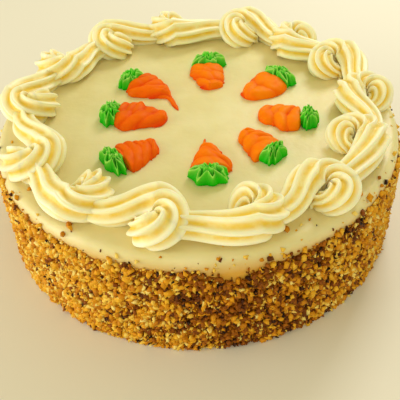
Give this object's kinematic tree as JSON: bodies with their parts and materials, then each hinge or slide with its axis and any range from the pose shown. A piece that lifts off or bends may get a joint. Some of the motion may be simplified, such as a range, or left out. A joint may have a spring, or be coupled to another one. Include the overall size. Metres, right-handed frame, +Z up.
{
  "type": "frosted carrot cake",
  "caption": "Round frosted carrot cake with a chopped-nut side, a border of piped shell swirls and a ring of small piped carrots with leafy tops.",
  "frame": {"origin": "centre of the cake's flat base", "axes": "+Z up through the cake, -Y towards the front, +X to the right"},
  "size_m": [0.2237, 0.2223, 0.0799],
  "materials": {
    "frosting": "smooth cream-cheese frosting with a chopped-nut coat on the side",
    "piping": "soft satin piped frosting",
    "orange_icing": "satin orange icing",
    "green_icing": "satin green icing"
  },
  "bodies": {
    "root": {"cake": "frosting", "swirl_01": "piping", "swirl_02": "piping", "swirl_03": "piping", "swirl_04": "piping", "swirl_05": "piping", "swirl_06": "piping", "swirl_07": "piping", "swirl_08": "piping", "swirl_09": "piping", "swirl_10": "piping", "swirl_11": "piping", "swirl_12": "piping", "swirl_13": "piping", "swirl_14": "piping", "carrot_1": "orange_icing", "leaf_1": "green_icing", "carrot_2": "orange_icing", "leaf_2": "green_icing", "carrot_3": "orange_icing", "leaf_3": "green_icing", "carrot_4": "orange_icing", "leaf_4": "green_icing", "carrot_5": "orange_icing", "leaf_5": "green_icing", "carrot_6": "orange_icing", "leaf_6": "green_icing", "carrot_7": "orange_icing", "leaf_7": "green_icing", "carrot_8": "orange_icing", "leaf_8": "green_icing"}
  },
  "joints": []
}
